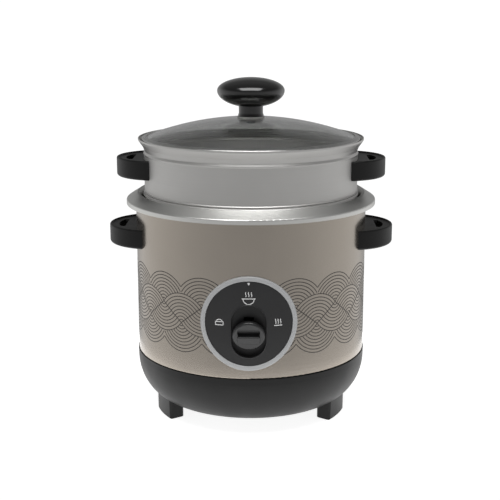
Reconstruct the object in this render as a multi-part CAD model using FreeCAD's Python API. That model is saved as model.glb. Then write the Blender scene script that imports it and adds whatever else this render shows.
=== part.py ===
import FreeCAD, Part
import math
import os

# A round electric rice cooker with a steamer tier and a glass lid.
# Millimetres, +Z up, origin on the floor under the middle of the body, switch panel facing -Y.

# ---------------------------------------------------------------- driving dimensions
fit_gap = 0.3                 # between pieces of different bodies, over their whole travel
shaft_clearance = 0.05        # radial, a shaft in its hole
cut_gap = 0.1                 # between a sheet's cut edge and the piece that fills the cut
screw_slack = 0.1             # radial, a screw in a sheet or boss

base_bottom = 13.1            # underside of the base bowl
base_top = 62.2               # seam between the base and the outer shell
base_wall = 2.5
base_lip = 0.7                # the base stands this proud of the shell
base_band = 6.0               # upright band under the seam
base_curve = 34.5             # width of the rounded skirt, from the flat bottom out to the band

foot_outset = 17.8            # outer face of a foot, beyond the flat bottom
foot_depth = 17.0
foot_middle = 65.0            # angle from the front, each side
foot_spread = 22.0
foot_rounding = 4.0
foot_boss_height = 4.0        # boss over each foot, above the base's floor
screw_radius = 1.5            # the screws under the base and the plate
screw_head = 3.2

shell_radius = 113.0
shell_top = 216.5
shell_wall = 0.8
shell_flange = 9.0            # turned in under the shell, resting on the base

pot_seat = 135.0              # underside of the pot, just above the heating plate
pot_wall = 1.2
pot_corner = 32.0
pot_air = 1.2                 # between the pot and the liner
liner_wall = 0.8
liner_air = 3.2               # between the liner and the shell
rim_overhang = 9.1            # the pot's rim beyond the shell
rim_rise = 3.8                # crest of the rim above the shell's top
rim_drop = 7.5                # from the crest down to the rim's outer edge
rim_hem = 4.0

steamer_wall = 1.0
steamer_gap = 1.5             # between the steamer's wall and the inside of the pot
steamer_nest = 17.3           # depth of the steamer's floor below the rim's crest
steamer_height = 51.7         # steamer rim above the pot rim's crest
steamer_flare = 5.5
hole_radius = 2.2
hole_pitch = 12.0

lid_dome_radius = 290.0
lid_glass_thickness = 3.5
lid_edge_sink = 0.1           # edge of the glass below the steamer's rim
knob_radius = 32.7
knob_neck_radius = 11.8
knob_neck_height = 10.0
knob_under = 14.8             # from the neck up to the widest line
knob_crown = 12.6             # from the widest line up to the top
knob_collar = 0.9             # washer between the glass and the neck
knob_screw_radius = 2.2
vent_radius = 4.4             # steam vent in the glass
vent_y = 40.0                 # the vent is this far behind the knob

handle_height = 18.8
handle_wall = 3.0
handle_rim = 2.2              # width of the raised edge round the top plate
handle_plate = 2.4            # thickness of the top plate
handle_top_sink = 1.4         # top plate below the handle's edge
handle_slot_half = 17.0       # half length of the slot through the top plate
handle_slot_inset = 10.0      # from the wall to the slot
handle_slot_border = 9.2      # from the slot out to the handle's edge
handle_screw_radius = 1.4
handle_screw_angle = 10.5     # each side of the handle's middle
handle_post_radius = 4.2
body_handle_radius = 47.0
body_handle_reach = 26.9      # beyond the shell
body_handle_drop = 29.3       # from the shell's top down to the handle's
steamer_handle_radius = 43.0
steamer_handle_reach = 27.2
steamer_handle_drop = 18.7    # from the steamer's rim down to the handle's top

panel_height = 116.0          # middle of the switch panel
panel_radius = 44.3
panel_ring_width = 4.3
panel_ring_proud = 3.4
panel_face_proud = 2.2
recess_wall = 1.5
recess_side_gap = 1.35        # round the key
recess_below = 5.7            # under the key's lowest point
recess_above = 14.7           # over the key, room for its swing
recess_back_gap = 0.5         # behind the key's lower edge

key_radius = 15.0
key_thickness = 4.5
key_pocket = 3.2              # depth of the finger pocket above the ledge
key_rise = 9.0                # upper edge of the key above the pivot, in the cook position
key_proud = 3.5               # beyond the shell
key_tilt = 18.0               # face turned down from upright
pivot_inset = 27.0            # pivot behind the outside of the shell
pivot_drop = 9.2              # pivot under the liner's floor
pin_radius = 2.0
ear_gap = 10.8                # from the middle to the inside of each bracket ear
ear_thickness = 1.2
rivet_radius = 1.5
rivet_x = 8.5
arm_half = 2.6                # half height of the lever's arm
tail_length = 16.0
lever_swing = 26.0            # from cook up to keep-warm

plate_thickness = 7.0
plate_margin = 1.0            # the plate's edge inside the pot's flat bottom
spacer_height = 7.7
element_radius = 58.0
element_tube = 4.0
element_gap = 12.0            # half angle left open at the rear for the terminals
element_leg = 8.0             # the element's legs reach this far below the liner
sensor_radius = 16.5
sensor_gap = 0.6              # radial, between the sensor's cap and the plate
sensor_wall = 1.2
ferrite_radius = 9.0
ferrite_thickness = 5.5
flange_radius = 12.2          # of the magnet's holder
stem_radius = 3.0
spring_sides = 12             # flats round the springs' wire
guide_half = 22.25            # from the middle to each leg of the guide bracket

inlet_height = 88.0
inlet_width = 34.0
inlet_tall = 24.0
inlet_depth = 26.0
inlet_wall = 3.0

fuse_x = 38.0                 # thermal fuse, under the liner
fuse_y = 22.0
fuse_radius = 2.4
fuse_drop = 3.2               # from the liner down to the fuse's middle

# ---------------------------------------------------------------- places that follow from them
shell_inside = shell_radius - shell_wall
liner_outside = shell_inside - liner_air
pot_outside = liner_outside - liner_wall - pot_air
pot_inside = pot_outside - pot_wall
base_radius = shell_radius + base_lip
flat_radius = base_radius - base_curve
curve_top = base_top - base_band
foot_circle = flat_radius + foot_outset - foot_depth / 2
foot_boss_top = base_bottom + base_wall + foot_boss_height
body_handle_bottom = shell_top - body_handle_drop - handle_height
body_screw_height = body_handle_bottom + handle_height / 2
rim_radius = shell_radius + rim_overhang
rim_crest = shell_top + rim_rise
crest_radius = pot_outside + 3.2
steamer_outside = pot_inside - steamer_gap
steamer_inside = steamer_outside - steamer_wall
steamer_floor = rim_crest - steamer_nest
steamer_top = rim_crest + steamer_height
steamer_handle_bottom = steamer_top - steamer_handle_drop - handle_height
steamer_screw_height = steamer_handle_bottom + handle_height / 2
steamer_rim = steamer_outside + steamer_flare
glass_radius = steamer_outside - 0.8
glass_centre = steamer_top - lid_edge_sink - math.sqrt(lid_dome_radius ** 2 - glass_radius ** 2)
glass_apex = glass_centre + lid_dome_radius
lid_ring_outside = steamer_outside + 2.2
lid_ring_inside = steamer_outside - 2.8
plate_top = pot_seat - fit_gap
plate_bottom = plate_top - plate_thickness
plate_radius = pot_outside - pot_corner - plate_margin
element_height = plate_bottom - 1.0
liner_floor = plate_bottom - spacer_height
liner_under = liner_floor - liner_wall
liner_corner = pot_corner + pot_air + liner_wall
element_low = liner_under - element_leg
ferrite_bottom = plate_top - sensor_wall - ferrite_thickness
holder_top = liner_floor - 0.1
holder_bottom = holder_top - 1.4
pivot_y = pivot_inset - shell_radius
pivot_height = liner_under - pivot_drop
key_height = pivot_height + key_rise - key_radius
key_run = key_radius * math.sin(math.radians(key_tilt)) + key_thickness * math.cos(math.radians(key_tilt))
recess_depth = key_run - key_proud + recess_back_gap
recess_half_width = key_radius + recess_side_gap
recess_bottom = key_height - key_radius - recess_below
recess_top = key_height + key_radius + recess_above
key_y = -shell_radius - key_proud
tail_rise = lever_swing / 2
nose_radius = 2.0
bar_thickness = 2.0
nose_y = pivot_y + tail_length * math.cos(math.radians(tail_rise))
nose_z = pivot_height + tail_length * math.sin(math.radians(tail_rise))
bar_bottom = nose_z + nose_radius + fit_gap
bar_top = bar_bottom + bar_thickness
magnet_travel = 2 * tail_length * math.sin(math.radians(tail_rise))
guide_low = bar_bottom - magnet_travel - 6.0
rivet_y = nose_y + 8.0
pillar_radius = 5.0
pillar_circle = flat_radius - 13.0
pillar_angles = (90, 210, 330)
spacer_circle = 40.0
spacer_angles = (-30, 90, 210)


# ---------------------------------------------------------------- helpers
def vec(x, y, z):
    return FreeCAD.Vector(x, y, z)


UP = vec(0, 0, 1)


def polar(radius, degrees, z=0.0):
    """Point at an angle from +X."""
    turn = math.radians(degrees)
    return vec(radius * math.cos(turn), radius * math.sin(turn), z)


def outline(corners):
    """Closed wire in the XZ plane; each corner is (x, z) or (x, z, rounding)."""
    count = len(corners)
    starts = []
    ends = []
    middles = []
    for index, corner in enumerate(corners):
        here = vec(corner[0], 0, corner[1])
        before = corners[index - 1]
        after = corners[(index + 1) % count]
        back = vec(before[0], 0, before[1]).sub(here).normalize()
        forward = vec(after[0], 0, after[1]).sub(here).normalize()
        rounding = corner[2] if len(corner) > 2 else 0
        if rounding == 0:
            starts.append(here)
            ends.append(here)
            middles.append(None)
            continue
        half = back.getAngle(forward) / 2
        along = rounding / math.tan(half)
        bisector = back.add(forward).normalize()
        starts.append(here.add(back.multiply(along)))
        ends.append(here.add(forward.multiply(along)))
        middles.append(here.add(bisector.multiply(rounding / math.sin(half) - rounding)))
    edges = []
    for index in range(count):
        if middles[index] is not None:
            edges.append(Part.Arc(starts[index], middles[index], ends[index]).toShape())
        follower = starts[(index + 1) % count]
        if ends[index].distanceToPoint(follower) > 1e-6:
            edges.append(Part.LineSegment(ends[index], follower).toShape())
    return Part.Wire(edges)


def turned(corners, degrees=360, start=0):
    """Solid of revolution about Z from an XZ outline."""
    solid = Part.Face(outline(corners)).revolve(vec(0, 0, 0), UP, degrees)
    solid.rotate(vec(0, 0, 0), UP, start)
    return solid


def offset_path(path, distance):
    """The open path moved sideways, to its left for a positive distance."""
    sides = []
    for first, second in zip(path[:-1], path[1:]):
        length = math.hypot(second[0] - first[0], second[1] - first[1])
        sides.append((-(second[1] - first[1]) / length, (second[0] - first[0]) / length))
    moved = []
    for index, corner in enumerate(path):
        before = sides[max(index - 1, 0)]
        after = sides[min(index, len(sides) - 1)]
        scale = distance / (1 + before[0] * after[0] + before[1] * after[1])
        x = corner[0] + scale * (before[0] + after[0])
        z = corner[1] + scale * (before[1] + after[1])
        turn = before[0] * after[1] - before[1] * after[0]
        rounding = corner[2] if len(corner) > 2 else 0
        if rounding:
            rounding = max(rounding - math.copysign(distance, distance * turn), 0.05)
            rounding = rounding if turn * distance > 0 else corner[2] + abs(distance)
        moved.append((x, z, rounding))
    return moved


def sheet(path, thickness):
    """Solid of revolution of a bent sheet; the wall grows to the left of the path."""
    return turned(list(path) + offset_path(path, thickness)[::-1])


def rod(radius, start, end):
    """Cylinder from one point to another."""
    return Part.makeCylinder(radius, start.distanceToPoint(end), start, end.sub(start))


def block(low, high):
    """Box between two corners."""
    return Part.makeBox(high[0] - low[0], high[1] - low[1], high[2] - low[2], vec(*low))


def fused(shapes):
    return shapes[0].fuse(shapes[1:]).removeSplitter()


def mirrored(shape):
    """The same piece on the other side of the YZ plane."""
    return shape.mirror(vec(0, 0, 0), vec(1, 0, 0))


def round_bore(radius, low, high, place):
    """Upright cylinder over a place in the plan."""
    return Part.makeCylinder(radius, high - low, vec(place.x, place.y, low))


def hexagon(across, low, high, place):
    """Upright six-sided prism."""
    corners = [polar(across / math.sqrt(3), 60 * step) for step in range(7)]
    face = Part.Face(Part.makePolygon(corners))
    prism = face.extrude(vec(0, 0, high - low))
    prism.translate(vec(place.x, place.y, low))
    return prism


def screw(head_radius, head_height, radius, length, place, direction):
    """Pan-head screw; place is under its head, direction runs along its shank."""
    head = turned([(0, 0), (head_radius, 0), (head_radius, head_height, head_height * 0.6),
                   (0, head_height)])
    cross = fused([block((-head_radius * 0.6, -0.4, head_height * 0.5),
                         (head_radius * 0.6, 0.4, head_height + 1)),
                   block((-0.4, -head_radius * 0.6, head_height * 0.5),
                         (0.4, head_radius * 0.6, head_height + 1))])
    shank = Part.makeCylinder(radius, length, vec(0, 0, -length))
    piece = head.cut(cross).fuse(shank).removeSplitter()
    piece.rotate(vec(0, 0, 0), vec(1, 0, 0), 180)
    spin = FreeCAD.Rotation(UP, direction)
    piece.Placement = FreeCAD.Placement(place, spin).multiply(piece.Placement)
    return piece


def spring(coil_radius, wire_radius, low, high, turns):
    """Helical spring of many-sided wire, inside the given heights."""
    rise = high - low - 2 * wire_radius
    helix = Part.makeHelix(rise / turns, rise, coil_radius)
    helix.translate(vec(0, 0, low + wire_radius))
    corners = []
    for step in range(spring_sides + 1):
        corner = polar(wire_radius, 360 * step / spring_sides)
        corners.append(vec(coil_radius + corner.x, 0, low + wire_radius + corner.y))
    return Part.Wire(helix).makePipeShell([Part.makePolygon(corners)], True, True)


def curved_plate(profile, inside, outside):
    """The part of a prism along Y that lies between two cylinders about Z, at the front."""
    shell = Part.makeCylinder(outside, 400).cut(Part.makeCylinder(inside, 400))
    return profile.common(shell)


def stadium(half_width, low, high, front, back):
    """Upright slot shape, run along Y from front to back."""
    depth = back - front
    middle = block((-half_width, front, low + half_width), (half_width, back, high - half_width))
    ends = [Part.makeCylinder(half_width, depth, vec(0, front, z), vec(0, 1, 0))
            for z in (low + half_width, high - half_width)]
    return fused([middle] + ends)


# ---------------------------------------------------------------- base and feet
def bowl(radius, bottom, curve_width, flat):
    """Solid body of the base: flat bottom, elliptical skirt, upright band."""
    centre = vec(flat, 0, curve_top)
    drop = curve_top - bottom
    major, minor = (vec(flat, 0, bottom), vec(radius, 0, curve_top))
    if curve_width > drop:
        major, minor = minor, major
    ellipse = Part.Ellipse(major, minor, centre)
    start = ellipse.parameter(vec(flat, 0, bottom))
    end = ellipse.parameter(vec(radius, 0, curve_top))
    if (end - start) % (2 * math.pi) > math.pi:
        start, end = end, start
    skirt = Part.ArcOfEllipse(ellipse, start, end).toShape()
    sides = [Part.makeLine(vec(0, 0, bottom), vec(flat, 0, bottom)),
             Part.makeLine(vec(radius, 0, curve_top), vec(radius, 0, base_top)),
             Part.makeLine(vec(radius, 0, base_top), vec(0, 0, base_top)),
             Part.makeLine(vec(0, 0, base_top), vec(0, 0, bottom))]
    wire = Part.Wire(Part.__sortEdges__([skirt] + sides))
    return Part.Face(wire).revolve(vec(0, 0, 0), UP, 360)


def base_outer():
    return bowl(base_radius, base_bottom, base_curve, flat_radius)


def foot_places():
    """Plan angles of the feet, by name, from +X."""
    return {"foot_front_left": 270 - foot_middle, "foot_front_right": 270 + foot_middle,
            "foot_rear_left": 90 + foot_middle, "foot_rear_right": 90 - foot_middle}


def base():
    inner = bowl(base_radius - base_wall, base_bottom + base_wall, base_curve - base_wall, flat_radius)
    body = base_outer().cut(inner)
    pillars = []
    bores = []
    for angle in pillar_angles:
        place = polar(pillar_circle, angle)
        pillars.append(round_bore(pillar_radius, base_bottom, liner_under, place))
        bores.append(round_bore(screw_head + 0.4, base_bottom - 1, liner_under - 12, place))
        bores.append(round_bore(screw_radius + screw_slack, liner_under - 13, liner_under + 1, place))
    for angle in foot_places().values():
        place = polar(foot_circle, angle)
        boss = round_bore(4.5, base_bottom, foot_boss_top, place).common(base_outer())
        pillars.append(boss)
        bores.append(round_bore(screw_radius + screw_slack, 0, foot_boss_top + 1, place))
    for step in range(24):
        vent = block((flat_radius * 0.35, -1.5, base_bottom - 1),
                     (flat_radius * 0.6, 1.5, base_bottom + base_wall + 1))
        vent.rotate(vec(0, 0, 0), UP, 7.5 + 15 * step)
        bores.append(vent)
    return body.fuse(pillars).cut(bores).removeSplitter()


def foot():
    """The front left foot; the others are its mirror images."""
    angle = 270 - foot_middle
    outer = flat_radius + foot_outset
    inner = outer - foot_depth
    sector = turned([(inner, 0), (outer, 0), (outer, curve_top), (inner, curve_top)],
                    foot_spread, angle - foot_spread / 2)
    upright = [edge for edge in sector.Edges if abs(edge.tangentAt(edge.FirstParameter).z) > 0.99]
    ring = turned([(inner, 0, 1.2), (outer - 0.8, 0, 1.2), (outer, curve_top), (inner, curve_top)])
    hole = round_bore(screw_radius, 4, curve_top, polar(foot_circle, angle))
    return sector.makeFillet(foot_rounding, upright).common(ring).cut([base_outer(), hole])


def foot_screws():
    length = foot_boss_top - 5.0
    return Part.makeCompound([screw(screw_head, 2.0, screw_radius, length,
                                    polar(foot_circle, angle, foot_boss_top), vec(0, 0, -1))
                              for angle in foot_places().values()])


def base_screws():
    return Part.makeCompound([screw(screw_head, 2.4, screw_radius, 16.0,
                                    polar(pillar_circle, angle, liner_under - 12), UP)
                              for angle in pillar_angles])


def base_nuts():
    nuts = []
    for angle in pillar_angles:
        place = polar(pillar_circle, angle)
        nuts.append(hexagon(5.5, liner_floor, liner_floor + 2.4, place)
                    .cut(round_bore(screw_radius, liner_under, liner_floor + 3, place)))
    return Part.makeCompound(nuts)


# ---------------------------------------------------------------- shell, liner and pot
def handle_screw_holes(radius, inside, outside, z, side):
    """Radial bores for one handle's two screws; side is 0 for +X, 180 for -X."""
    bores = []
    for turn in (-handle_screw_angle, handle_screw_angle):
        bores.append(rod(radius, polar(inside, side + turn, z), polar(outside, side + turn, z)))
    return bores


def outer_shell():
    path = [(shell_radius - shell_flange, base_top), (shell_radius, base_top, 1.2),
            (shell_radius, shell_top, 1.6), (shell_radius - 2.4, shell_top)]
    wall = sheet(path, shell_wall)
    border = recess_wall + cut_gap
    opening = stadium(recess_half_width + border, recess_bottom - border, recess_top + border,
                      -shell_radius - 5, -shell_radius + 40)
    half = inlet_width / 2 + cut_gap
    tall = inlet_tall / 2 + cut_gap
    inlet = block((-half, 60, inlet_height - tall), (half, shell_radius + 5, inlet_height + tall))
    cuts = [opening, inlet]
    for side in (0, 180):
        cuts += handle_screw_holes(handle_screw_radius + screw_slack, shell_inside - 3, shell_radius + 3,
                                   body_screw_height, side)
    return wall.cut(cuts)


def inner_liner():
    path = [(flange_radius + 0.6, liner_under), (liner_outside, liner_under, liner_corner),
            (liner_outside, shell_top - 10.5, 1.2), (shell_inside, shell_top - 10.5)]
    wall = sheet(path, liner_wall)
    cuts = []
    for angle in pillar_angles:
        cuts.append(round_bore(screw_radius + screw_slack, liner_under - 1, liner_floor + 1,
                               polar(pillar_circle, angle)))
    for angle in spacer_angles:
        cuts.append(round_bore(screw_radius + screw_slack, liner_under - 1, liner_floor + 1,
                               polar(spacer_circle, angle)))
    for place in element_ends():
        cuts.append(round_bore(element_tube + 1.5, liner_under - 1, liner_floor + 1, place))
    for x in (-rivet_x, rivet_x):
        cuts.append(round_bore(rivet_radius, liner_under - 1, liner_floor + 1, vec(x, rivet_y, 0)))
    return wall.cut(cuts)


def inner_pot():
    floor = pot_seat + pot_wall
    path = [(0, floor), (pot_inside, floor, pot_corner - pot_wall), (pot_inside, rim_crest - 6.3, 6.0),
            (crest_radius, rim_crest, 1.8), (rim_radius, rim_crest - rim_drop, 1.6),
            (rim_radius, rim_crest - rim_drop - rim_hem)]
    return sheet(path, -pot_wall)


# ---------------------------------------------------------------- heating plate and its parts
def element_ends():
    return [polar(element_radius, 90 - element_gap), polar(element_radius, 90 + element_gap)]


def heating_plate():
    hole = sensor_radius + sensor_gap
    disc = turned([(hole, plate_bottom), (plate_radius, plate_bottom, 2.0),
                   (plate_radius, plate_top, 2.5), (hole, plate_top, 0.8)])
    ridge = turned([(element_radius - 7, plate_bottom + 1), (element_radius - 7, plate_bottom - 4, 2.5),
                    (element_radius + 7, plate_bottom - 4, 2.5), (element_radius + 7, plate_bottom + 1)],
                   360 - 2 * element_gap - 8, 90 + element_gap + 4)
    tube = Part.makeTorus(element_radius, element_tube, vec(0, 0, element_height))
    bores = [round_bore(screw_radius, plate_bottom - 1, plate_top - 2, polar(spacer_circle, angle))
             for angle in spacer_angles]
    return disc.fuse(ridge).cut([tube] + bores)


def heating_element():
    ring = Part.makeTorus(element_radius, element_tube, vec(0, 0, element_height), UP, 0, 360,
                          360 - 2 * element_gap)
    ring.rotate(vec(0, 0, 0), UP, 90 + element_gap)
    legs = [round_bore(element_tube, element_low, element_height, place) for place in element_ends()]
    caps = [Part.makeSphere(element_tube, vec(place.x, place.y, element_height)) for place in element_ends()]
    return fused([ring] + legs + caps)


def element_terminals():
    tabs = []
    for place in element_ends():
        bead = round_bore(3.0, element_low - 3, element_low, place)
        tab = block((place.x - 0.4, place.y - 3.1, element_low - 12),
                    (place.x + 0.4, place.y + 3.1, element_low - 3))
        tabs.append(bead.fuse(tab))
    return Part.makeCompound(tabs)


def plate_spacers():
    sleeves = []
    for angle in spacer_angles:
        place = polar(spacer_circle, angle)
        sleeves.append(round_bore(4.5, liner_floor, plate_bottom, place)
                       .cut(round_bore(screw_radius + screw_slack, liner_floor - 1, plate_bottom + 1, place)))
    return Part.makeCompound(sleeves)


def plate_screws():
    return Part.makeCompound([screw(screw_head, 2.0, screw_radius, spacer_height + liner_wall + 4,
                                    polar(spacer_circle, angle, liner_under), UP)
                              for angle in spacer_angles])


# ---------------------------------------------------------------- thermostat
def sensor_cap():
    return sheet([(0, plate_top), (sensor_radius, plate_top, 1.5), (sensor_radius, liner_floor + 2.0)],
                 -sensor_wall)


def ferrite():
    return Part.makeCylinder(ferrite_radius, ferrite_thickness, vec(0, 0, ferrite_bottom))


def sensor_spring():
    return spring(sensor_radius - 2.6, 0.5, liner_floor, plate_top - sensor_wall, 4)


def magnet():
    return Part.makeCylinder(ferrite_radius, ferrite_bottom - fit_gap - holder_top, vec(0, 0, holder_top))


def magnet_holder():
    flange = Part.makeCylinder(flange_radius, holder_top - holder_bottom, vec(0, 0, holder_bottom))
    stem = Part.makeCylinder(stem_radius, holder_bottom - guide_low + 5, vec(0, 0, guide_low - 5))
    return fused([flange, stem])


def magnet_spring():
    return spring(ferrite_radius + 1.8, 0.4, holder_top, plate_top - sensor_wall, 5)


def lift_bar():
    tip = nose_y - 2.5
    strip = block((-6, tip, bar_bottom), (6, 0, bar_top))
    boss = Part.makeCylinder(8.0, bar_thickness, vec(0, 0, bar_bottom))
    return fused([strip, boss]).cut(Part.makeCylinder(stem_radius, 20, vec(0, 0, bar_bottom - 5)))


def guide_bracket():
    half = 0.75
    outer = guide_half + half
    strap = block((-outer, -6, guide_low), (outer, 6, guide_low + 2 * half))
    pieces_of_it = [strap]
    for x in (-guide_half, guide_half):
        pieces_of_it.append(block((x - half, -6, guide_low), (x + half, 6, liner_under)))
        outward = math.copysign(8.0, x)
        pieces_of_it.append(block((min(x, x + outward), -6, liner_under - 2 * half),
                                  (max(x, x + outward), 6, liner_under)))
    hole = Part.makeCylinder(stem_radius + shaft_clearance, 10, vec(0, 0, guide_low - 5))
    return fused(pieces_of_it).cut(hole)


# ---------------------------------------------------------------- switch panel and lever
def panel_disc(radius, length=60):
    return Part.makeCylinder(radius, length, vec(0, -shell_radius - 10, panel_height), vec(0, 1, 0))


def panel_ring():
    hoop = panel_disc(panel_radius).cut(panel_disc(panel_radius - panel_ring_width))
    return curved_plate(hoop, shell_radius, shell_radius + panel_ring_proud)


def arm_height(turn_degrees):
    """Height of the lever's arm where it passes the back of the recess."""
    rest = math.atan2(key_height - pivot_height, pivot_y - key_y)
    reach = pivot_inset - recess_depth
    return pivot_height + reach * math.tan(rest + math.radians(turn_degrees))


def panel_face():
    outside = shell_radius + panel_face_proud
    back = recess_depth - shell_radius
    plate = curved_plate(panel_disc(panel_radius - panel_ring_width), shell_radius, outside)
    tub = stadium(recess_half_width + recess_wall, recess_bottom - recess_wall, recess_top + recess_wall,
                  -outside - 5, back + recess_wall).common(Part.makeCylinder(outside, 400))
    hollow = stadium(recess_half_width, recess_bottom, recess_top, -outside - 5, back)
    slot = block((-4.5, back - 1, arm_height(0) - arm_half - 2.0),
                 (4.5, back + recess_wall + 1, arm_height(lever_swing) + arm_half + 2.0))
    return fused([plate, tub]).cut([hollow, slot])


def link(start, end, radius, half_width):
    """Bar with round ends in the YZ plane, centred on x = 0."""
    ends = [rod(radius, vec(-half_width, y, z), vec(half_width, y, z)) for y, z in (start, end)]
    length = math.hypot(end[0] - start[0], end[1] - start[1])
    web = block((-half_width, 0, -radius), (half_width, length, radius))
    web.rotate(vec(0, 0, 0), vec(1, 0, 0), math.degrees(math.atan2(end[1] - start[1], end[0] - start[0])))
    web.translate(vec(0, start[0], start[1]))
    return fused(ends + [web])


def key():
    """Round key with a finger ledge, face at z = 0, looking along +Z, top edge towards +Y."""
    disc = turned([(0, -key_thickness), (key_radius, -key_thickness, 0.8), (key_radius, 0, 1.8), (0, 0)])
    pocket = block((-10.3, 0.8, -key_pocket), (10.3, 8.4, 2))
    upright = [edge for edge in pocket.Edges if abs(edge.tangentAt(0).z) > 0.99]
    pocket = pocket.makeFillet(2.0, upright)
    ledge = block((-10.3, -6.8, -1), (10.3, 0.8, 2.0))
    ledge = ledge.makeFillet(0.9, ledge.Edges)
    shape = disc.cut(pocket).fuse(ledge)
    shape.rotate(vec(0, 0, 0), vec(1, 0, 0), 90 + key_tilt)
    shape.translate(vec(0, key_y, key_height))
    return shape


def switch_lever():
    tilt = math.radians(key_tilt)
    behind = key_thickness + arm_half - 1.2
    root = (key_y + behind * math.cos(tilt), key_height + behind * math.sin(tilt))
    pivot = (pivot_y, pivot_height)
    arm = link(pivot, root, arm_half, 3.5)
    tail = link(pivot, (nose_y, nose_z), 1.3, 3.0)
    nose = rod(nose_radius, vec(-3, nose_y, nose_z), vec(3, nose_y, nose_z))
    hub_half = ear_gap - fit_gap
    hub = rod(5.0, vec(-hub_half, pivot_y, pivot_height), vec(hub_half, pivot_y, pivot_height))
    bore = rod(pin_radius + shaft_clearance, vec(-20, pivot_y, pivot_height), vec(20, pivot_y, pivot_height))
    return fused([hub, arm, tail, nose, key()]).cut(bore)


def lever_pin():
    reach = ear_gap + ear_thickness + 1.0
    return rod(pin_radius, vec(-reach, pivot_y, pivot_height), vec(reach, pivot_y, pivot_height))


def switch_bracket():
    outer = ear_gap + ear_thickness
    top = block((-outer, nose_y + 3, liner_under - ear_thickness), (outer, nose_y + 14, liner_under))
    ears = []
    for x in (-outer, ear_gap):
        ears.append(block((x, pivot_y - 6, pivot_height - 6),
                          (x + ear_thickness, nose_y + 14, liner_under - ear_thickness / 2)))
    bores = [rod(pin_radius, vec(-20, pivot_y, pivot_height), vec(20, pivot_y, pivot_height))]
    for x in (-rivet_x, rivet_x):
        bores.append(round_bore(rivet_radius, liner_under - 5, liner_under + 1, vec(x, rivet_y, 0)))
    return fused([top] + ears).cut(bores)


def bracket_rivets():
    rivets = []
    for x in (-rivet_x, rivet_x):
        place = vec(x, rivet_y, 0)
        low = liner_under - ear_thickness
        rivets.append(fused([round_bore(rivet_radius, low - 1.0, liner_floor + 1.0, place),
                             round_bore(2.2, low - 0.9, low, place),
                             round_bore(2.8, liner_floor, liner_floor + 1.0, place)]))
    return Part.makeCompound(rivets)


def switch_contacts():
    x = ear_gap + ear_thickness
    body = block((x, nose_y - 4, pivot_height - 5), (x + 7, nose_y + 12, pivot_height + 3))
    leaves = [block((x + 2, pivot_y - 4, pivot_height + z), (x + 5, nose_y - 4, pivot_height + z + 0.5))
              for z in (-3.0, 0.6)]
    tabs = [block((x + 2, nose_y + 12, pivot_height + z), (x + 5, nose_y + 20, pivot_height + z + 0.5))
            for z in (-3.0, 0.6)]
    return fused([body] + leaves + tabs)


# ---------------------------------------------------------------- power inlet and fuse
def inlet_housing():
    low = inlet_height - inlet_tall / 2
    high = inlet_height + inlet_tall / 2
    outside = shell_radius + 1.6
    half = inlet_width / 2
    back = shell_radius - inlet_depth
    tub = block((-half, back, low), (half, shell_radius + 5, high))
    collar = block((-half - 4, back, low - 4), (half + 4, shell_radius + 5, high + 4))
    collar = collar.makeFillet(3.0, [edge for edge in collar.Edges if abs(edge.tangentAt(0).y) > 0.99])
    flange = curved_plate(collar, shell_radius, outside)
    tub = tub.common(Part.makeCylinder(outside, 400))
    hollow = block((-half + inlet_wall, back + inlet_wall, low + inlet_wall),
                   (half - inlet_wall, shell_radius + 6, high - inlet_wall))
    hollow = hollow.makeFillet(4.0, [edge for edge in hollow.Edges if abs(edge.tangentAt(0).y) > 0.99])
    slots = [pin.common(tub) for pin in inlet_blades()]
    return fused([flange, tub]).cut([hollow] + slots)


def inlet_blades():
    """Three flat contact blades through the back of the socket."""
    blades = []
    for x, z in ((-7.0, -1.5), (0.0, 2.5), (7.0, -1.5)):
        blade = block((x - 1, shell_radius - inlet_depth - 8, inlet_height + z - 2.5),
                      (x + 1, shell_radius - 6, inlet_height + z + 2.5))
        blades.append(blade)
    return blades


def inlet_pins():
    return Part.makeCompound(inlet_blades())


def thermal_fuse():
    z = liner_under - fuse_drop
    body = rod(fuse_radius, vec(fuse_x, fuse_y - 7, z), vec(fuse_x, fuse_y + 7, z))
    leads = rod(0.6, vec(fuse_x, fuse_y - 16, z), vec(fuse_x, fuse_y + 16, z))
    return fused([body, leads])


def fuse_clip():
    z = liner_under - fuse_drop
    strap = rod(fuse_radius + 0.8, vec(fuse_x, fuse_y - 3, z), vec(fuse_x, fuse_y + 3, z))
    plate = block((fuse_x - 9, fuse_y - 3, liner_under - 0.8), (fuse_x + 9, fuse_y + 3, liner_under))
    bore = rod(fuse_radius, vec(fuse_x, fuse_y - 9, z), vec(fuse_x, fuse_y + 9, z))
    return fused([strap, plate]).cut(bore)


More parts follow.
